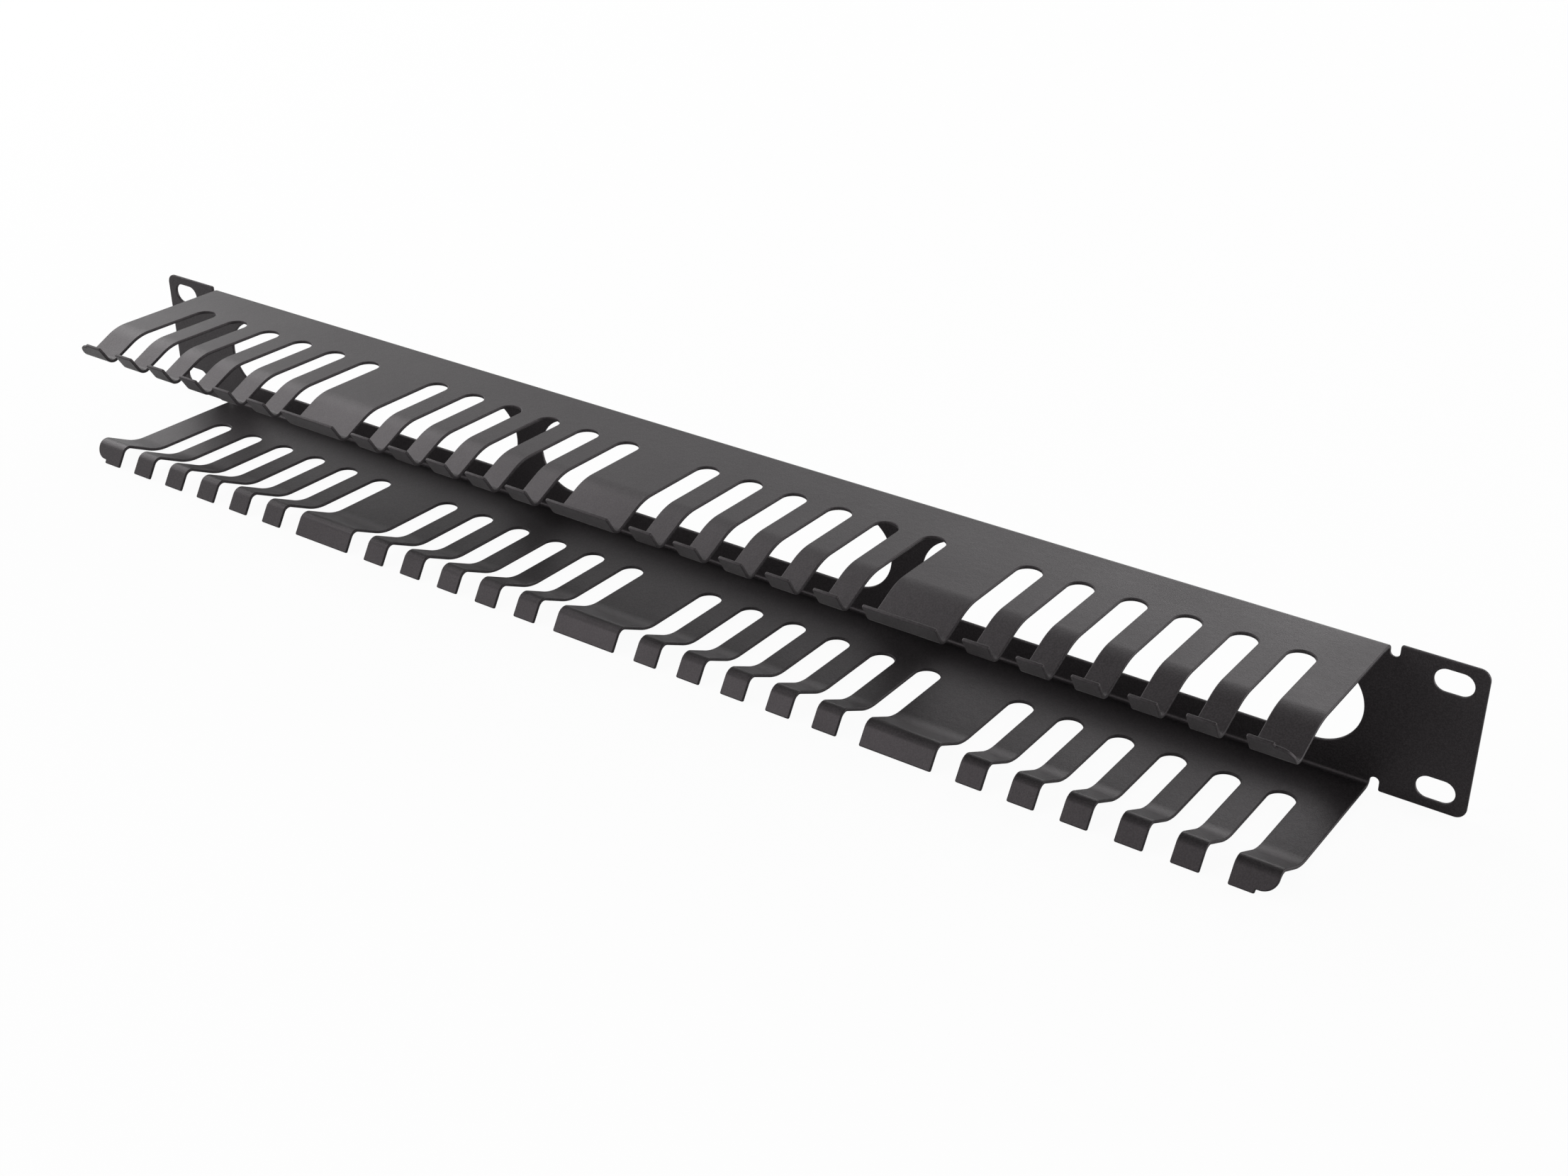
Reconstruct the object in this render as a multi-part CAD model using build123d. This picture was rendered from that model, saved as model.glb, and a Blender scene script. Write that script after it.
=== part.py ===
from build123d import *
import math
import os

# A horizontal cable manager for a 19 inch rack, one unit high: one sheet of steel, cut, folded and
# powder coated. A back plate with three long cable holes ends in two ears with slots for the rack's
# screws. From its top and bottom edges a flange folds forward, and each flange is a comb: open slots
# leave fingers that dip towards the middle and end in a lip turned back outwards, so that cables snap
# in and stay in. All sizes are in millimetres.
#
# Frame: the origin is in the middle of the rear face, midway between the ears' screw slots. X runs
# along the panel to the right as seen from the front, -Y points forward and Z points up.

# Sheet and its bends
sheet_t = 1.0
corner_bend_r = 1.2     # inside radius where the plate folds into a flange
knee_bend_r = 16.0      # inside radius of the long soft bend where a finger starts to dip
vee_bend_r = 2.2        # inside radius at the foot of the lip

# Back plate and ears
overall_w = 482.6       # the rack's 19 inches
overall_h = 43.7        # one rack unit less its clearance
ear_l = 25.9            # from a flange's end to the panel's end
ear_corner_r = 3.0
ear_root_corner_r = 0.6

# Rack screw slots: 465.1 apart along the panel and 31.75 apart in height
screw_from_end = 8.75
screw_from_edge = 5.975
screw_slot_l = 10.5
screw_slot_w = 6.5

# Cable holes: a row of them along the plate with webs between
cable_hole_count = 3
cable_hole_web = 10.4
cable_hole_from_end = 4.3   # from a flange's end to the last hole
cable_hole_border = 7.15    # flat strip between a hole and the bend's edge

# Flanges: as long as the plate between the reliefs, and set a little inside the ears' long edges
flange_inset = 0.3      # from an ear's long edge to a flange's outer face
flange_depth = 44.8     # from the rear face to the start of the dip
relief_w = 2.6          # notch beside each end of a bend

# Fingers: the dip and the lip, measured along the outer face between its sharp corners
dip_angle = 26.0
dip_l = 13.6
lip_angle = 58.5
lip_l = 7.2

# Comb: groups of slots with a wide land between two groups, and as many slots as a group holds
slot_w = 7.6
finger_w = 7.85
land_w = 22.45
end_finger_w = 12.025
group_count = 4
slot_root = 16.8        # from the rear face to a slot's round end

# End fingers: the lip's outer corner is rounded, and stands back from the rest of its edge
end_lip_flat = 7.0      # length of the full edge that is left
end_lip_setback = 1.2
end_lip_r = 4.2

# Places that follow from the sizes above
flange_half_l = overall_w / 2 - ear_l
flange_z = overall_h / 2 - flange_inset
bend_outer_r = corner_bend_r + sheet_t
flat_half_h = flange_z - bend_outer_r
screw_x = overall_w / 2 - screw_from_end
screw_z = overall_h / 2 - screw_from_edge
cable_hole_row = 2 * (flange_half_l - cable_hole_from_end)
cable_hole_pitch = (cable_hole_row + cable_hole_web) / cable_hole_count
cable_hole_l = cable_hole_pitch - cable_hole_web
cable_hole_h = 2 * (flat_half_h - cable_hole_border)
vee_y = flange_depth + dip_l * math.cos(math.radians(dip_angle))
vee_z = flange_z - dip_l * math.sin(math.radians(dip_angle))
tip_y = vee_y + lip_l * math.cos(math.radians(lip_angle))
tip_z = vee_z + lip_l * math.sin(math.radians(lip_angle))
comb_l = 2 * (flange_half_l - end_finger_w)
group_pitch = (comb_l + land_w) / group_count
group_l = group_pitch - land_w
slots_per_group = round((group_l + finger_w) / (slot_w + finger_w))
slot_pitch = (group_l - slot_w) / (slots_per_group - 1)
past = 4 * sheet_t      # how far a cutter runs past the sheet


def folded_channel():
    """The plate and both flanges, with dip and lip, as one bent strip pushed along X."""
    half = [(0, flange_z), (-flange_depth, flange_z), (-vee_y, vee_z), (-tip_y, tip_z)]
    path = half[::-1] + [(y, -z) for y, z in half]
    knee_outer_r = knee_bend_r + sheet_t
    radii = [vee_bend_r, knee_outer_r, bend_outer_r, bend_outer_r, knee_outer_r, vee_bend_r]
    with BuildSketch(Plane.YZ) as section:
        with BuildLine():
            outer_face = FilletPolyline(*path, radius=radii)
            offset(outer_face, amount=sheet_t, side=Side.RIGHT, kind=Kind.INTERSECTION)
        make_face()
    return extrude(section.sketch, amount=flange_half_l, both=True)


def ear():
    """The plate's right end, with round corners, a relief beside each bend and two screw slots."""
    relief_x = flange_half_l + relief_w / 2
    root_x = flange_half_l + relief_w
    with BuildSketch(Plane.XZ) as outline:
        with Locations((flange_half_l + ear_l / 2, 0)):
            blank = Rectangle(ear_l, overall_h)
        fillet(blank.vertices().group_by(Axis.X)[-1], radius=ear_corner_r)
        # each relief ends in a half round centred on the bend's edge
        for side in (1, -1):
            with Locations((relief_x, side * flat_half_h)):
                Circle(relief_w / 2, mode=Mode.SUBTRACT)
            with Locations((relief_x, side * overall_h / 2)):
                Rectangle(relief_w, 2 * (overall_h / 2 - flat_half_h), mode=Mode.SUBTRACT)
            with Locations((screw_x, side * screw_z)):
                SlotOverall(screw_slot_l, screw_slot_w, mode=Mode.SUBTRACT)
        outer_edge = outline.vertices().filter_by_position(Axis.X, root_x - 0.01, root_x + 0.01)
        root_corners = [v for v in outer_edge if abs(v.Z) > overall_h / 2 - 0.01]
        fillet(root_corners, radius=ear_root_corner_r)
    return extrude(outline.sketch, amount=sheet_t)


def cable_holes():
    """Cutters for the long round ended holes in the back plate."""
    with BuildSketch(Plane.XZ.offset(-past)) as holes:
        with GridLocations(cable_hole_pitch, 0, cable_hole_count, 1):
            SlotOverall(cable_hole_l, cable_hole_h)
    return extrude(holes.sketch, amount=2 * past)


def slot_centres():
    """X of each finger slot, from left to right."""
    centres = []
    for group in range(group_count):
        group_x = (group - (group_count - 1) / 2) * group_pitch
        for slot in range(slots_per_group):
            centres.append(group_x + (slot - (slots_per_group - 1) / 2) * slot_pitch)
    return centres


def finger_slots():
    """Cutters for the comb: each slot is open in front, and one cutter serves both flanges."""
    centre_y = slot_root + slot_w / 2
    front_y = tip_y + past
    with BuildSketch(Plane.XY.offset(-overall_h)) as slots:
        with Locations(*[(x, -centre_y) for x in slot_centres()]):
            Circle(slot_w / 2)
        with Locations(*[(x, -(centre_y + front_y) / 2) for x in slot_centres()]):
            Rectangle(slot_w, front_y - centre_y)
    return extrude(slots.sketch, amount=2 * overall_h)


def end_lip_cutter():
    """What is cut from the outer corner of the top right finger's lip, square to the lip."""
    cut_l = end_finger_w - end_lip_flat
    lip_up = Vector(0, -math.cos(math.radians(lip_angle)), math.sin(math.radians(lip_angle)))
    corner = Vector(flange_half_l, -tip_y, tip_z)
    lip_plane = Plane(origin=corner, x_dir=(1, 0, 0), z_dir=Vector(1, 0, 0).cross(lip_up))
    reach = end_lip_setback + end_lip_r
    with BuildSketch(lip_plane) as waste:
        with Locations((-cut_l, -reach)):
            Rectangle(cut_l + past, reach + past, align=(Align.MIN, Align.MIN))
        with BuildSketch(mode=Mode.PRIVATE) as kept:
            with Locations((0, -end_lip_setback)):
                lip = Rectangle(2 * cut_l, 2 * reach, align=(Align.MAX, Align.MAX))
            fillet(lip.vertices().sort_by(Axis.X)[-2:].sort_by(Axis.Y)[-1], radius=end_lip_r)
        add(kept.sketch, mode=Mode.SUBTRACT)
    return extrude(waste.sketch, amount=past / 2, both=True)


def mirrored_across(shape, *planes):
    """The shape with its mirror images, each plane doubling what is there."""
    copies = [shape]
    for plane in planes:
        copies += [mirror(copy, about=plane) for copy in copies]
    return copies


body = folded_channel()
for piece in mirrored_across(ear(), Plane.YZ):
    body += piece
body -= cable_holes()
body -= finger_slots()
for cutter in mirrored_across(end_lip_cutter(), Plane.YZ, Plane.XY):
    body -= cutter

os.makedirs("parts", exist_ok=True)
export_step(body, "parts/cable_manager.step")
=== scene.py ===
import math

import bpy
import numpy as np
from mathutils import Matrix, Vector
from mathutils.geometry import delaunay_2d_cdt


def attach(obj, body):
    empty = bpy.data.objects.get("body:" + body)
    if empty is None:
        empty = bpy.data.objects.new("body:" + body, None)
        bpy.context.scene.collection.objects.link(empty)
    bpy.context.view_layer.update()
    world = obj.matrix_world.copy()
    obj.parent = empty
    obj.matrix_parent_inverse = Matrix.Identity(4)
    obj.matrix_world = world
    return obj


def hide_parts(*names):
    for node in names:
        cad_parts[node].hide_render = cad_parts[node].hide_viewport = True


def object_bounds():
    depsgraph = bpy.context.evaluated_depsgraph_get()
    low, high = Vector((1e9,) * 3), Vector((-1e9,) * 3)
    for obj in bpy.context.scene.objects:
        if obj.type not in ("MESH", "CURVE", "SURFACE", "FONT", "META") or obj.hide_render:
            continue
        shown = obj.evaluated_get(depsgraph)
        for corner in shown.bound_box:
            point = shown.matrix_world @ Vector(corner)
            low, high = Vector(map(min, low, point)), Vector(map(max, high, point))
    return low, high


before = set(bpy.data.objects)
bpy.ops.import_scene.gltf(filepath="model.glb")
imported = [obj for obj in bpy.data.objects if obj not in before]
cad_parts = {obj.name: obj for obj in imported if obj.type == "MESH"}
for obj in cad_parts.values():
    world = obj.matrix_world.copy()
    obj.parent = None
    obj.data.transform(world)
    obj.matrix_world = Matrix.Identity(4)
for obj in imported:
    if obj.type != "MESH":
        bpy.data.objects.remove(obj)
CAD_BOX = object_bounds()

# A rack cable manager: one punched, folded and powder coated sheet of steel. The sheet is drawn
# flat, with the outline of every finger and hole, gets its rounded edges there, and is then
# folded. x runs along the panel, s up the sheet's rear and outer face from the middle of the back
# plate, and n into the sheet from that face. Metres throughout, in the frame's own place.

bl_info = {
    "name": "Rack cable manager",
    "version": (1, 0, 0),
    "blender": (4, 5, 0),
    "location": "View3D > Sidebar > Cable manager",
    "description": "Builds a folded sheet steel cable manager with its powder coat and its studio",
    "category": "Object",
}

MM = 0.001
NODE = "cable_manager"

# The sheet's mesh.
BEND_STEPS = (14, 12, 16)  # round the corner bend, the knee bend and the vee bend
EDGE_STEPS = 3  # in each quarter round of a cut edge
ARC_STEP = 0.42 * MM  # along an arc of an outline
FEWEST_ARC_STEPS, MOST_ARC_STEPS = 4, 24
ROW_STEP = 7.725 * MM  # between the points that are added along a fold's line
PAST_FLANGE = 0.5 * MM  # further than this past a flange's end, the sheet isn't folded
CROWDED = 0.06 * MM  # an outline's point this near to one on a fold's line is left out
SAME = 1e-7  # metres between two points, or a point and a fold's line, that count as one
QUARTERS = ((-1, -1), (-1, 1), (1, 1), (1, -1))  # signs of x and s at four corners, clockwise

# The coat's materials, for the faces and for the cut edges: name, how many grains to a length
# and how rough, both against the faces, and how strong the relief is.
COATS = (
    ("powder_coat_faces", 1.0, 1.0, 0.8),
    ("powder_coat_edges", 0.7, 1.25, 0.3),
)
RELIEF_DEPTH = 0.08 * MM
GRAIN_SHARE = 0.5  # of the relief; the rest is flow waves
FLECK_RANGE = (0.36, 0.66)  # of the grain's noise, from no fleck to full fleck
CLOUD_RANGE = (0.3, 0.7)  # of the cloud's noise, from the smoothest places to the roughest
ROUGHNESS_SWING = 0.03  # to either side of the coat's roughness

# The studio, in metres, degrees and watts. Each lamp has its name, place, width, height and power.
WHITE = (1.0, 1.0, 1.0, 1.0)
SOFTBOXES = (
    ("softbox_left", (-1.5, 0.1, 1.2), 1.4, 1.4, 20.4),
    ("softbox_left_low", (-1.8, 0.5, 0.55), 1.0, 0.6, 4.0),
    ("softbox_back_low", (-0.3, 1.9, 0.7), 1.6, 0.5, 3.2),
    ("softbox_back", (0.1, 1.8, 0.85), 1.4, 0.7, 5.9),
    ("softbox_front_left", (-0.77, -1.26, 0.63), 0.42, 0.8, 6.2),
    ("softbox_right_low", (1.4, 0.85, 0.32), 1.0, 0.5, 16.0),
)
FLOOR_RINGS = (0.6, 1.5, 3.0, 5.0, 5.6)
FLOOR_SPOKES = 64
FLOOR_DROP = 0.05  # of the outermost ring
FLOOR_MOTTLE = 0.98  # the floor's darker places, as a share of its colour
CEILING_HEIGHTS = (0.55, 0.95)  # of a ray's direction, between which the world's white dims
CEILING_STRENGTHS = (1.0, 0.35)
CAMERA_PLACE = (0.3528834, -0.4585255, 0.2815472)
CAMERA_TURN = (61.228223, -0.685694, 34.254064)
CAMERA_LENS, CAMERA_SENSOR = 48.0844, 36.0  # millimetres
CAMERA_SHIFT = (-0.0293008, 0.0098491)
CAMERA_CLIP = (0.01, 50.0)


def size(name, description, millimetres):
    """A length that a user can change, given in millimetres and kept in metres."""
    return bpy.props.FloatProperty(
        name=name, description=description, default=millimetres * MM, min=0.0,
        precision=5, subtype="DISTANCE", unit="LENGTH",
    )


def slope(name, description, degrees):
    """An angle that a user can change, given in degrees and kept in radians."""
    return bpy.props.FloatProperty(
        name=name, description=description, default=math.radians(degrees),
        min=0.0, max=math.radians(89), subtype="ANGLE", unit="ROTATION",
    )


def number(name, description, default, most=1.0):
    """A plain number that a user can change."""
    return bpy.props.FloatProperty(
        name=name, description=description, default=default, min=0.0, max=most
    )


def colour(name, description, default):
    """A colour that a user can change."""
    return bpy.props.FloatVectorProperty(
        name=name, description=description, default=default,
        size=3, min=0.0, max=1.0, subtype="COLOR",
    )


class SheetSizes(bpy.types.PropertyGroup):
    """Sizes of the cut and folded sheet."""

    sheet_t: size("Sheet thickness", "Steel with its coat", 1.0)
    edge_r: size("Edge radius", "How round the coat leaves each cut edge", 0.32)
    corner_r: size(
        "Finger corner radius", "Corner of a finger's edge, seen square to the lip", 0.45
    )
    corner_bend_r: size(
        "Corner bend radius", "Inside radius where the plate folds into a flange", 1.2
    )
    knee_bend_r: size(
        "Knee bend radius", "Inside radius of the soft bend where a finger starts to dip", 16.0
    )
    vee_bend_r: size("Vee bend radius", "Inside radius at the foot of a lip", 2.2)
    overall_w: size("Width", "Over both ears", (CAD_BOX[1].x - CAD_BOX[0].x) / MM)
    overall_h: size("Height", "Over the ears", (CAD_BOX[1].z - CAD_BOX[0].z) / MM)
    ear_l: size("Ear length", "From a flange's end to the panel's end", 25.9)
    ear_corner_r: size("Ear corner radius", "Outer corners of an ear", 3.0)
    ear_root_r: size("Ear root radius", "Corner of an ear beside the relief", 0.6)
    screw_from_end: size("Screw slot from end", "Panel's end to a slot's middle", 8.75)
    screw_from_edge: size("Screw slot from edge", "Panel's long edge to a slot's middle", 5.975)
    screw_slot_l: size("Screw slot length", "Along the panel", 10.5)
    screw_slot_w: size("Screw slot width", "Across the slot", 6.5)
    cable_hole_web: size("Web", "Between two cable holes", 10.4)
    cable_hole_from_end: size("Cable hole from end", "Flange's end to the last hole", 4.3)
    cable_hole_border: size("Cable hole border", "Flat strip between a hole and the bend", 7.15)
    flange_inset: size("Flange inset", "From an ear's long edge to a flange's outer face", 0.3)
    flange_depth: size("Flange depth", "Rear face to the start of the dip", 44.8)
    relief_w: size("Relief width", "Notch beside each end of a bend", 2.6)
    dip_l: size("Dip length", "Along the outer face between sharp corners", 13.6)
    lip_l: size("Lip length", "Along the outer face from the sharp corner", 7.2)
    dip_angle: slope("Dip angle", "How far a finger dips", 26.0)
    lip_angle: slope("Lip angle", "How steeply a lip turns back", 58.5)
    slot_w: size("Slot width", "Between two fingers", 7.6)
    finger_w: size("Finger width", "A finger inside a group", 7.85)
    land_w: size("Land width", "Wide finger between two groups", 22.45)
    end_finger_w: size("End finger width", "From the flange's end to the first slot", 12.025)
    slot_root: size("Slot root", "Rear face to a slot's round end", 16.8)
    end_lip_flat: size("End lip edge", "Full edge that is left on an end lip", 7.0)
    end_lip_setback: size("End lip setback", "How far its corner stands back", 1.2)
    end_lip_r: size("End lip radius", "Radius of its corner", 4.2)
    group_count: bpy.props.IntProperty(
        name="Groups", description="Groups of slots along the comb", default=4, min=1
    )
    hole_count: bpy.props.IntProperty(
        name="Cable holes", description="Long holes in the back plate", default=3, min=1
    )


class CoatLook(bpy.types.PropertyGroup):
    """Colour and grain of the powder coat."""

    coat: colour("Coat", "Satin black of the powder", (0.0092, 0.0083, 0.0087))
    fleck: colour("Fleck", "Lighter grains in the powder", (0.0234, 0.0212, 0.0222))
    sheen: colour("Sheen", "Tint of what the coat reflects", (1.0, 0.90, 0.95))
    roughness: number("Roughness", "Roughness of the flat faces", 0.44)
    index: number("Index", "Refractive index of the coat", 1.40, 3.0)
    grain: size("Grain size", "Fine grain of the powder", 0.45)
    peel: size("Flow size", "Soft waves left as the powder flowed out", 2.4)


class StudioLook(bpy.types.PropertyGroup):
    """Floor, white background and daylight of the studio."""

    floor: colour("Floor", "Pale floor that the part stands on", (0.86, 0.86, 0.86))
    whiteness: number(
        "White background", "How far the floor is lifted to white for the camera", 0.95
    )
    mirrored: number(
        "White in reflections", "Share of that lift for what the coat reflects", 0.15
    )
    daylight: number("Daylight", "Even light from all round", 0.27, 5.0)


class Fold:
    """The sheet's section: where a point of the flat sheet goes once the sheet is folded."""

    def __init__(self, sizes):
        self.half_l = sizes.overall_w / 2 - sizes.ear_l
        self.flange_z = sizes.overall_h / 2 - sizes.flange_inset
        bend_r = sizes.corner_bend_r + sizes.sheet_t
        self.flat_h = self.flange_z - bend_r
        down, up = sizes.dip_angle, sizes.lip_angle
        knee = (-sizes.flange_depth, self.flange_z)
        vee = (knee[0] - sizes.dip_l * math.cos(down), knee[1] - sizes.dip_l * math.sin(down))
        tip = (vee[0] - sizes.lip_l * math.cos(up), vee[1] + sizes.lip_l * math.sin(up))
        corners = [(0, 0), (0, self.flange_z), knee, vee, tip]
        radii = [bend_r, sizes.knee_bend_r + sizes.sheet_t, sizes.vee_bend_r]
        # Each row has s, then y and z of the outer face, then y and z of its inward normal.
        rows = [(0.0, *corners[0], -1.0, 0.0)]
        bend_ends = []
        for i, (r, count) in enumerate(zip(radii, BEND_STEPS)):
            a, b, c = (Vector(p) for p in corners[i:i + 3])
            into, out = (b - a).normalized(), (c - b).normalized()
            turn = math.atan2(into.cross(out), into.dot(out))
            side = math.copysign(1.0, turn)
            start = b - into * r * math.tan(abs(turn) / 2)
            normal = Vector((-into.y, into.x))
            centre = start + normal * r * side
            s0 = rows[-1][0] + (start - Vector(rows[-1][1:3])).length
            for k in range(count + 1):
                angle = turn * k / count
                cos, sin = math.cos(angle), math.sin(angle)
                n = Vector((normal.x * cos - normal.y * sin, normal.x * sin + normal.y * cos))
                p = centre - n * r * side
                rows.append((s0 + abs(angle) * r, p.x, p.y, n.x, n.y))
            bend_ends.append(s0 + abs(turn) * r)
        last = Vector(corners[-1])
        end = rows[-1][0] + (last - Vector(rows[-1][1:3])).length
        rows.append((end, *last, *rows[-1][3:]))
        self.rows = np.array(rows)
        self.tip = end
        self.flange_start = bend_ends[0]
        self.stations = [r[0] for r in rows[1:-1]]

    def on_flange(self, depth):
        """s of a place on the flange that is this far in front of the rear face."""
        return self.flange_start + depth - (self.flange_z - self.flat_h)

    def on_ear(self, x):
        """Whether x is on an ear, where the sheet stays flat."""
        return np.abs(x) > self.half_l + PAST_FLANGE

    def place(self, x, s, n):
        """Folded place, inward normal and direction of s, for arrays of flat points."""
        flat = self.on_ear(x)
        side = np.where(s < 0, -1.0, 1.0)
        a = np.abs(s)
        table = self.rows
        y, z, ny, nz = (np.interp(a, table[:, 0], table[:, k]) for k in (1, 2, 3, 4))
        y, z = np.where(flat, 0.0, y), np.where(flat, a, z)
        ny, nz = np.where(flat, -1.0, ny), np.where(flat, 0.0, nz)
        span = np.hypot(ny, nz)
        ny, nz = ny / span, nz / span
        zero = np.zeros_like(x)
        inward = np.stack([zero, ny, nz * side], 1)
        along = np.stack([zero, nz * side, -ny], 1)
        return np.stack([x, y + ny * n, (z + nz * n) * side], 1), inward, along


def slot_centres(sizes, fold):
    """x of each finger slot, from left to right."""
    comb = 2 * (fold.half_l - sizes.end_finger_w)
    group_pitch = (comb + sizes.land_w) / sizes.group_count
    group = group_pitch - sizes.land_w
    count = round((group + sizes.finger_w) / (sizes.slot_w + sizes.finger_w))
    pitch = (group - sizes.slot_w) / (count - 1)
    return [
        (g - (sizes.group_count - 1) / 2) * group_pitch + (k - (count - 1) / 2) * pitch
        for g in range(sizes.group_count)
        for k in range(count)
    ]


def sheet_corners(sizes, fold):
    """Corners (x, s, radius) of the sheet's outline, with the sheet on the left."""
    end, top, x = sizes.overall_w / 2, sizes.overall_h / 2, fold.half_l
    relief = fold.flat_h - sizes.relief_w / 2
    cut = x - (sizes.end_finger_w - sizes.end_lip_flat)
    back = fold.tip - sizes.end_lip_setback
    right = [
        (end, top, sizes.ear_corner_r),
        (x + sizes.relief_w, top, sizes.ear_root_r),
        (x + sizes.relief_w, relief, sizes.relief_w / 2),
        (x, relief, sizes.relief_w / 2),
        (x, back, sizes.end_lip_r),
        (cut, back, sizes.edge_r),
        (cut, fold.tip, sizes.corner_r),
    ]
    root, half = fold.on_flange(sizes.slot_root), sizes.slot_w / 2
    comb = []
    for c in reversed(slot_centres(sizes, fold)):
        comb += [
            (c + half, fold.tip, sizes.corner_r), (c + half, root, half),
            (c - half, root, half), (c - half, fold.tip, sizes.corner_r),
        ]
    left = [(-px, s, r) for px, s, r in reversed(right)]
    upper = right + comb + left
    return upper + [(px, -s, r) for px, s, r in reversed(upper)]


def hole_corners(x, s, length, width):
    """Corners of a round ended hole, with the sheet on the left."""
    a, b = length / 2, width / 2
    return [(x + i * a, s + k * b, b) for i, k in QUARTERS]


def all_holes(sizes, fold):
    """Cable holes in the plate and screw slots in the ears."""
    row = 2 * (fold.half_l - sizes.cable_hole_from_end)
    pitch = (row + sizes.cable_hole_web) / sizes.hole_count
    length = pitch - sizes.cable_hole_web
    height = 2 * (fold.flat_h - sizes.cable_hole_border)
    holes = [
        hole_corners((i - (sizes.hole_count - 1) / 2) * pitch, 0, length, height)
        for i in range(sizes.hole_count)
    ]
    x = sizes.overall_w / 2 - sizes.screw_from_end
    s = sizes.overall_h / 2 - sizes.screw_from_edge
    for i, k in QUARTERS:
        holes.append(hole_corners(i * x, k * s, sizes.screw_slot_l, sizes.screw_slot_w))
    return holes


def rounded(corners):
    """The closed outline through the corners, each radius drawn in short steps."""
    points = []
    for i, (x, s, r) in enumerate(corners):
        here = Vector((x, s))
        if r == 0:
            points.append(here)
            continue
        back = (Vector(corners[i - 1][:2]) - here).normalized()
        ahead = (Vector(corners[(i + 1) % len(corners)][:2]) - here).normalized()
        half = back.angle(ahead) / 2
        centre = here + (back + ahead).normalized() * r / math.sin(half)
        start, stop = here + back * r / math.tan(half), here + ahead * r / math.tan(half)
        a, b = start - centre, stop - centre
        turn = math.atan2(a.cross(b), a.dot(b))
        steps = math.ceil(abs(turn) * r / ARC_STEP)
        steps = min(MOST_ARC_STEPS, max(FEWEST_ARC_STEPS, steps))
        for k in range(steps + 1):
            angle = turn * k / steps
            cos, sin = math.cos(angle), math.sin(angle)
            points.append(centre + Vector((a.x * cos - a.y * sin, a.x * sin + a.y * cos)))
    return [p for k, p in enumerate(points) if (p - points[k - 1]).length > SAME]


def cut_at_folds(points, fold):
    """Adds a point to each edge wherever a fold's line crosses it, in place of one right beside
    it."""
    lines = np.array([-s for s in reversed(fold.stations)] + list(fold.stations))
    out = []
    for i, p in enumerate(points):
        q = points[(i + 1) % len(points)]
        out.append((p.x, p.y))
        if fold.on_ear(p.x) or fold.on_ear(q.x):
            continue
        low, high = min(p.y, q.y) + SAME, max(p.y, q.y) - SAME
        crossed = lines[(lines > low) & (lines < high)]
        for s in crossed if q.y > p.y else crossed[::-1]:
            out.append((p.x + (q.x - p.x) * (s - p.y) / (q.y - p.y), s))
    out = np.array(out)
    on_line = (np.abs(out[:, 1:] - lines) < SAME).any(1)
    lone = np.ones(len(out), bool)
    for step in (1, -1):
        near = np.linalg.norm(out - np.roll(out, step, 0), axis=1) < CROWDED
        lone &= on_line | ~(near & np.roll(on_line, step))
    return out[lone]


def edge_normals(loop, fold):
    """Outward direction at each point of a loop, and how much longer an inset is at a corner. A
    point on a fold's line moves along that line."""
    ahead = np.roll(loop, -1, 0) - loop
    ahead /= np.linalg.norm(ahead, axis=1)[:, None]
    normal = np.stack([ahead[:, 1], -ahead[:, 0]], 1)
    both = normal + np.roll(normal, 1, 0)
    both /= np.linalg.norm(both, axis=1)[:, None]
    longer = 1 / np.sum(both * normal, 1)
    on_fold = (np.abs(np.abs(loop[:, 1:2]) - np.array(fold.stations)) < SAME).any(1)
    on_fold &= ~fold.on_ear(loop[:, 0])
    longer[on_fold] = 1 / np.abs(both[on_fold, 0])
    both[on_fold] = np.sign(both[on_fold, :1]) * (1, 0)
    return both, longer


def edge_profile(t, r):
    """Across a cut edge from the outer face to the inner one: inset, depth, and the normal's parts
    along the edge's outward direction and along the inward normal."""
    arc = [math.pi / 2 * k / EDGE_STEPS for k in range(EDGE_STEPS + 1)]
    rows = [(r - r * math.sin(a), r - r * math.cos(a), math.sin(a), -math.cos(a)) for a in arc]
    rows += [(r - r * math.cos(a), t - r + r * math.sin(a), math.cos(a), math.sin(a)) for a in arc]
    return rows


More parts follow.
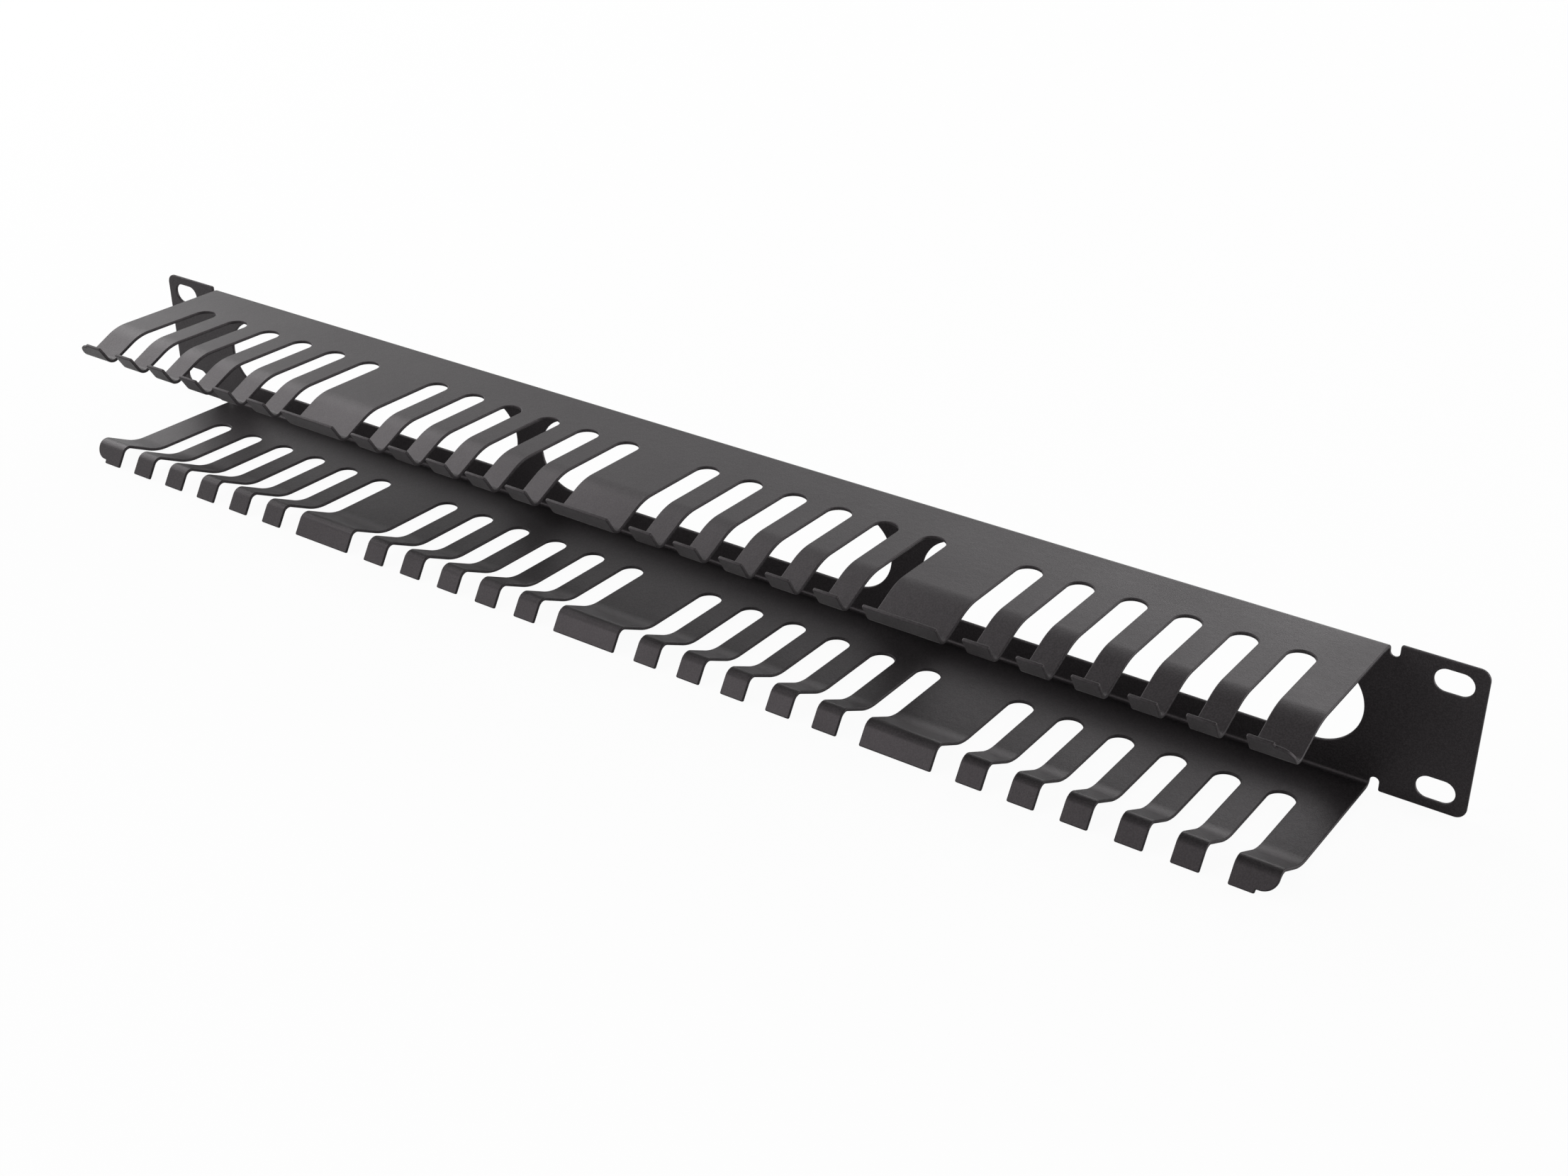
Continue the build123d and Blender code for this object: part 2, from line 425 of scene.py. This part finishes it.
def face_triangles(loops, fold):
    """Triangles of the sheet's flat face inside the inset loops, with rows of points on the folds.
    Returns the added points and the triangles, which count the loops' points first."""
    # The triangles are found in millimetres. A point's owner is its loop, or -1 on a fold's line.
    verts = [tuple(p / MM) for loop in loops for p in loop]
    edges, first = [], 0
    owner = []
    for k, loop in enumerate(loops):
        count = len(loop)
        edges += [(first + i, first + (i + 1) % count) for i in range(count)]
        owner += [k] * count
        first += count
    on_line = {}
    for i, (x, s) in enumerate(verts):
        if fold.on_ear(x * MM):
            continue
        for k, line in enumerate(fold.stations):
            if abs(abs(s) * MM - line) < SAME:
                on_line.setdefault((k, s > 0), []).append(i)
    for (k, upper), row in on_line.items():
        row.sort(key=lambda i: verts[i][0])
        s = fold.stations[k] / MM * (1 if upper else -1)
        for a, b in zip(row[0::2], row[1::2]):
            xa, xb = verts[a][0], verts[b][0]
            cuts = max(1, round((xb - xa) * MM / ROW_STEP))
            chain = [a]
            for c in range(1, cuts):
                chain.append(len(verts))
                verts.append((xa + (xb - xa) * c / cuts, s))
                owner.append(-1)
            chain.append(b)
            edges += list(zip(chain[:-1], chain[1:]))
    inside_only, tolerance = 1, 1e-6
    found = delaunay_2d_cdt([Vector(v) for v in verts], edges, [], inside_only, tolerance)
    back = [ids[0] if ids else -1 for ids in found[3]]
    if -1 in back or len(back) != len(verts):
        raise RuntimeError("the flat sheet's lines cross, so its sizes don't fit together")
    triangles = []
    for tri in found[2]:
        ids = [back[i] for i in tri]
        owners = {owner[i] for i in ids}
        # A triangle with all its points on one hole's loop fills that hole.
        if len(owners) == 1 and owners != {0} and owners != {-1}:
            continue
        a, b, c = (verts[i] for i in ids)
        if (b[0] - a[0]) * (c[1] - a[1]) - (b[1] - a[1]) * (c[0] - a[0]) < 0:
            ids.reverse()
        triangles.append(ids)
    return np.array(verts[first:]).reshape(-1, 2) * MM, triangles


def build_sheet_mesh(sizes):
    """The folded sheet with its rounded edges, closed, with exact normals."""
    fold = Fold(sizes)
    outlines = [sheet_corners(sizes, fold), *all_holes(sizes, fold)]
    loops = [cut_at_folds(rounded(corners), fold) for corners in outlines]
    profile = edge_profile(sizes.sheet_t, sizes.edge_r)
    outward = [edge_normals(loop, fold) for loop in loops]
    inset = [loop - n * (m * sizes.edge_r)[:, None] for loop, (n, m) in zip(loops, outward)]
    added, triangles = face_triangles(inset, fold)

    loop_points = np.concatenate(loops)
    loop_out = np.concatenate([n for n, _ in outward])
    loop_longer = np.concatenate([m for _, m in outward])
    count = len(loop_points)
    places, normals = [], []
    for gap, depth, beside, inside in profile:
        flat = loop_points - loop_out * (loop_longer * gap)[:, None]
        place, inward, along = fold.place(flat[:, 0], flat[:, 1], depth)
        out = along * loop_out[:, 1:2]
        out[:, 0] += loop_out[:, 0]
        places.append(place)
        normals.append(out * beside + inward * inside)
    for depth, inside in ((0.0, -1.0), (sizes.sheet_t, 1.0)):
        place, inward, _ = fold.place(added[:, 0], added[:, 1], depth)
        places.append(place)
        normals.append(inward * inside)
    points, normals = np.concatenate(places), np.concatenate(normals)

    faces, is_edge = [], []
    first = 0
    for loop in loops:
        for i in range(len(loop)):
            a, b = first + i, first + (i + 1) % len(loop)
            for k in range(len(profile) - 1):
                low, high = k * count, (k + 1) * count
                faces.append((a + low, b + low, b + high, a + high))
                is_edge.append(1)
        first += len(loop)
    inner_ring, extra = (len(profile) - 1) * count, len(profile) * count
    for tri in triangles:
        outer = [i if i < count else extra + i - count for i in tri]
        inner = [i + inner_ring if i < count else extra + len(added) + i - count for i in tri]
        faces += [tuple(reversed(outer)), tuple(inner)]
        is_edge += [0, 0]

    mesh = bpy.data.meshes.new("folded_sheet")
    mesh.from_pydata(points.tolist(), [], faces)
    mesh.polygons.foreach_set("material_index", is_edge)
    mesh.polygons.foreach_set("use_smooth", [True] * len(faces))
    mesh.update()
    if mesh.validate():
        raise RuntimeError("the folded sheet's mesh has faulty faces")
    normals /= np.linalg.norm(normals, axis=1)[:, None]
    mesh.normals_split_custom_set_from_vertices(normals.tolist())
    return mesh


def new_node(tree, kind, **settings):
    """A node whose settings are attributes, or input sockets by name."""
    node = tree.nodes.new(kind)
    for name, value in settings.items():
        if hasattr(node, name):
            setattr(node, name, value)
        else:
            node.inputs[name.replace("_", " ")].default_value = value
    return node


def colour_mix(tree, mask, first, second):
    """The mix of two plain colours by a mask. A colour Mix node has its factor in socket 0, its
    colours in 6 and 7, and the result in 2."""
    mix = new_node(tree, "ShaderNodeMix", data_type="RGBA")
    mix.inputs[6].default_value = (*first, 1)
    mix.inputs[7].default_value = (*second, 1)
    tree.links.new(mask, mix.inputs[0])
    return mix.outputs[2]


def map_range(tree, value, source, target=(0.0, 1.0), **settings):
    """A value moved from one range to another."""
    node = new_node(
        tree, "ShaderNodeMapRange", From_Min=source[0], From_Max=source[1],
        To_Min=target[0], To_Max=target[1], **settings,
    )
    tree.links.new(value, node.inputs["Value"])
    return node.outputs["Result"]


def maths(tree, operation, first, second):
    """A Math node's result for a socket and either another socket or a number."""
    node = new_node(tree, "ShaderNodeMath", operation=operation)
    tree.links.new(first, node.inputs[0])
    if isinstance(second, float):
        node.inputs[1].default_value = second
    else:
        tree.links.new(second, node.inputs[1])
    return node.outputs[0]


def powder_grain_group():
    """Fine grain, soft flow waves and faint cloudiness of a powder coat, for both its
    materials."""
    tree = bpy.data.node_groups.new("powder_grain", "ShaderNodeTree")
    for name in ("Grain per Metre", "Flow per Metre", "Grain Share"):
        tree.interface.new_socket(name, in_out="INPUT", socket_type="NodeSocketFloat")
    for name in ("Height", "Fleck", "Cloud"):
        tree.interface.new_socket(name, in_out="OUTPUT", socket_type="NodeSocketFloat")
    given = tree.nodes.new("NodeGroupInput")
    out = tree.nodes.new("NodeGroupOutput")
    where = tree.nodes.new("ShaderNodeTexCoord")
    link = tree.links.new

    grain = new_node(tree, "ShaderNodeTexNoise", Detail=2.0, Roughness=0.6)
    flow = new_node(tree, "ShaderNodeTexNoise", Detail=1.0, Roughness=0.5)
    cloud = new_node(tree, "ShaderNodeTexNoise", Scale=38.0, Detail=3.0, Roughness=0.55)
    for noise in (grain, flow, cloud):
        link(where.outputs["Object"], noise.inputs["Vector"])
    link(given.outputs["Grain per Metre"], grain.inputs["Scale"])
    link(given.outputs["Flow per Metre"], flow.inputs["Scale"])

    # A plain Mix node has its factor in socket 0 and its values in 2 and 3.
    height = new_node(tree, "ShaderNodeMix", data_type="FLOAT")
    link(given.outputs["Grain Share"], height.inputs[0])
    link(flow.outputs["Fac"], height.inputs[2])
    link(grain.outputs["Fac"], height.inputs[3])
    fleck = map_range(
        tree, grain.outputs["Fac"], FLECK_RANGE, interpolation_type="SMOOTHSTEP"
    )
    link(height.outputs[0], out.inputs["Height"])
    link(fleck, out.inputs["Fleck"])
    link(cloud.outputs["Fac"], out.inputs["Cloud"])
    return tree


def powder_coat(name, look, group, grains, rougher, relief):
    """Satin black powder coat. The cut edges take a flatter, duller coat than the faces."""
    material = bpy.data.materials.new(name)
    material.use_nodes = True
    tree = material.node_tree
    link = tree.links.new
    shader = tree.nodes["Principled BSDF"]
    shader.inputs["IOR"].default_value = look.index
    shader.inputs["Metallic"].default_value = 0.0
    shader.inputs["Specular Tint"].default_value = (*look.sheen, 1)
    grain = new_node(
        tree, "ShaderNodeGroup", node_tree=group, Grain_per_Metre=grains / look.grain,
        Flow_per_Metre=1 / look.peel, Grain_Share=GRAIN_SHARE,
    )
    flecked = colour_mix(tree, grain.outputs["Fleck"], look.coat, look.fleck)
    link(flecked, shader.inputs["Base Color"])

    middle = look.roughness * rougher
    swing = (middle - ROUGHNESS_SWING, middle + ROUGHNESS_SWING)
    link(map_range(tree, grain.outputs["Cloud"], CLOUD_RANGE, swing), shader.inputs["Roughness"])

    bump = new_node(tree, "ShaderNodeBump", Strength=relief, Distance=RELIEF_DEPTH)
    link(grain.outputs["Height"], bump.inputs["Height"])
    link(bump.outputs["Normal"], shader.inputs["Normal"])
    return material


def white_for_camera(tree, lit, white, whiteness, mirrored):
    """Mixes a lit shader with plain white, as far as the whiteness says, for camera and
    transmission rays, and in the mirrored share of that for glossy rays."""
    path = tree.nodes.new("ShaderNodeLightPath")
    glossy = maths(tree, "MULTIPLY", path.outputs["Is Glossy Ray"], mirrored)
    seen = maths(tree, "MAXIMUM", path.outputs["Is Camera Ray"], glossy)
    seen = maths(tree, "MAXIMUM", seen, path.outputs["Is Transmission Ray"])
    mix = tree.nodes.new("ShaderNodeMixShader")
    tree.links.new(maths(tree, "MULTIPLY", seen, whiteness), mix.inputs[0])
    tree.links.new(lit.outputs[0], mix.inputs[1])
    tree.links.new(white.outputs[0], mix.inputs[2])
    return mix.outputs[0]


def floor_material(look):
    """Pale matt floor, lifted towards white for the camera, that keeps a soft shadow."""
    material = bpy.data.materials.new("pale_floor")
    material.use_nodes = True
    tree = material.node_tree
    shader = tree.nodes["Principled BSDF"]
    shader.inputs["Roughness"].default_value = 0.9
    shader.inputs["Specular IOR Level"].default_value = 0.1
    where = tree.nodes.new("ShaderNodeTexCoord")
    paper = new_node(tree, "ShaderNodeTexNoise", Scale=9.0, Detail=4.0)
    tree.links.new(where.outputs["Object"], paper.inputs["Vector"])
    darker = [c * FLOOR_MOTTLE for c in look.floor]
    tone = colour_mix(tree, paper.outputs["Fac"], darker, look.floor)
    tree.links.new(tone, shader.inputs["Base Color"])
    white = new_node(tree, "ShaderNodeEmission", Color=WHITE, Strength=1.0)
    mixed = white_for_camera(tree, shader, white, look.whiteness, look.mirrored)
    tree.links.new(mixed, tree.nodes["Material Output"].inputs["Surface"])
    return material


def studio_world(look):
    """Even grey daylight, with white where the camera and reflections see past the floor. That
    white dims overhead."""
    world = bpy.data.worlds.new("studio")
    bpy.context.scene.world = world
    world.use_nodes = True
    tree = world.node_tree
    daylight = tree.nodes["Background"]
    daylight.inputs["Color"].default_value = WHITE
    daylight.inputs["Strength"].default_value = look.daylight
    white = new_node(tree, "ShaderNodeBackground", Color=WHITE)
    where = tree.nodes.new("ShaderNodeTexCoord")
    axes = tree.nodes.new("ShaderNodeSeparateXYZ")
    tree.links.new(where.outputs["Generated"], axes.inputs[0])
    ceiling = map_range(
        tree, axes.outputs["Z"], CEILING_HEIGHTS, CEILING_STRENGTHS,
        interpolation_type="SMOOTHSTEP",
    )
    tree.links.new(ceiling, white.inputs["Strength"])
    mixed = white_for_camera(tree, daylight, white, 1.0, 1.0)
    tree.links.new(mixed, tree.nodes["World Output"].inputs["Surface"])


def softbox(name, place, width, height, watts):
    """A plain white area lamp that looks at the middle of the panel."""
    lamp = bpy.data.lights.new(name, "AREA")
    lamp.shape = "RECTANGLE"
    lamp.size, lamp.size_y = width, height
    lamp.energy = watts
    holder = bpy.data.objects.new(name, lamp)
    holder.location = place
    holder.rotation_euler = (-Vector(place)).to_track_quat("-Z", "Y").to_euler()
    bpy.context.scene.collection.objects.link(holder)


def studio_floor(look, height):
    """A wide flat floor with a softly lowered edge far outside the picture."""
    points, faces = [(0.0, 0.0, height)], []
    for r in FLOOR_RINGS:
        z = height - (FLOOR_DROP if r == FLOOR_RINGS[-1] else 0.0)
        for i in range(FLOOR_SPOKES):
            a = 2 * math.pi * i / FLOOR_SPOKES
            points.append((r * math.cos(a), r * math.sin(a), z))
    for i in range(FLOOR_SPOKES):
        j = (i + 1) % FLOOR_SPOKES
        faces.append((0, 1 + i, 1 + j))
        for k in range(len(FLOOR_RINGS) - 1):
            a, b = 1 + k * FLOOR_SPOKES, 1 + (k + 1) * FLOOR_SPOKES
            faces.append((a + i, b + i, b + j, a + j))
    mesh = bpy.data.meshes.new("studio_floor")
    mesh.from_pydata(points, [], faces)
    mesh.update()
    mesh.materials.append(floor_material(look))
    floor = bpy.data.objects.new("studio_floor", mesh)
    bpy.context.scene.collection.objects.link(floor)


def photo_camera():
    """The camera where the photograph was taken from."""
    lens = bpy.data.cameras.new("camera")
    lens.lens, lens.sensor_width = CAMERA_LENS, CAMERA_SENSOR
    lens.shift_x, lens.shift_y = CAMERA_SHIFT
    lens.clip_start, lens.clip_end = CAMERA_CLIP
    camera = bpy.data.objects.new("camera", lens)
    camera.location = CAMERA_PLACE
    camera.rotation_euler = [math.radians(a) for a in CAMERA_TURN]
    bpy.context.scene.collection.objects.link(camera)
    bpy.context.scene.camera = camera


class CABLEMANAGER_OT_folded_sheet(bpy.types.Operator):
    """Builds the folded sheet with its comb of fingers and its powder coat"""

    bl_idname = "cable_manager.folded_sheet"
    bl_label = "Folded sheet"

    def execute(self, context):
        mesh = build_sheet_mesh(context.scene.cable_manager_sizes)
        group = powder_grain_group()
        for name, *values in COATS:
            coat = powder_coat(name, context.scene.cable_manager_coat, group, *values)
            mesh.materials.append(coat)
        sheet = bpy.data.objects.new("folded_sheet", mesh)
        context.scene.collection.objects.link(sheet)
        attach(sheet, "root")
        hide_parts(NODE)
        return {"FINISHED"}


class CABLEMANAGER_OT_studio(bpy.types.Operator):
    """Builds the camera, the pale floor and the soft studio light"""

    bl_idname = "cable_manager.studio"
    bl_label = "Studio"

    def execute(self, context):
        scene = context.scene
        look = scene.cable_manager_studio
        scene.view_settings.view_transform = "Standard"
        photo_camera()
        studio_world(look)
        studio_floor(look, CAD_BOX[0].z)
        for lamp in SOFTBOXES:
            softbox(*lamp)
        return {"FINISHED"}


class CABLEMANAGER_PT_sidebar(bpy.types.Panel):
    """Sizes, colours and build steps of the cable manager"""

    bl_idname = "CABLEMANAGER_PT_sidebar"
    bl_label = "Cable manager"
    bl_space_type = "VIEW_3D"
    bl_region_type = "UI"
    bl_category = "Cable manager"

    def draw(self, context):
        for kind in BUILD_STEPS:
            self.layout.operator(kind.bl_idname)
        for name, kind in GROUPS.items():
            box = self.layout.box()
            box.label(text=kind.__doc__)
            for key in kind.__annotations__:
                box.prop(getattr(context.scene, name), key)


GROUPS = {
    "cable_manager_sizes": SheetSizes,
    "cable_manager_coat": CoatLook,
    "cable_manager_studio": StudioLook,
}
BUILD_STEPS = (CABLEMANAGER_OT_studio, CABLEMANAGER_OT_folded_sheet)
CLASSES = (*GROUPS.values(), *BUILD_STEPS, CABLEMANAGER_PT_sidebar)


def register():
    """Makes the classes and the scene's properties known."""
    for kind in CLASSES:
        bpy.utils.register_class(kind)
    for name, kind in GROUPS.items():
        setattr(bpy.types.Scene, name, bpy.props.PointerProperty(type=kind))


def unregister():
    """Takes the properties and the classes away again."""
    for name in GROUPS:
        delattr(bpy.types.Scene, name)
    for kind in reversed(CLASSES):
        bpy.utils.unregister_class(kind)


def main():
    """Builds the studio and the sheet."""
    register()
    bpy.ops.cable_manager.studio()
    bpy.ops.cable_manager.folded_sheet()
    bpy.context.view_layer.update()


if __name__ == "__main__":
    main()
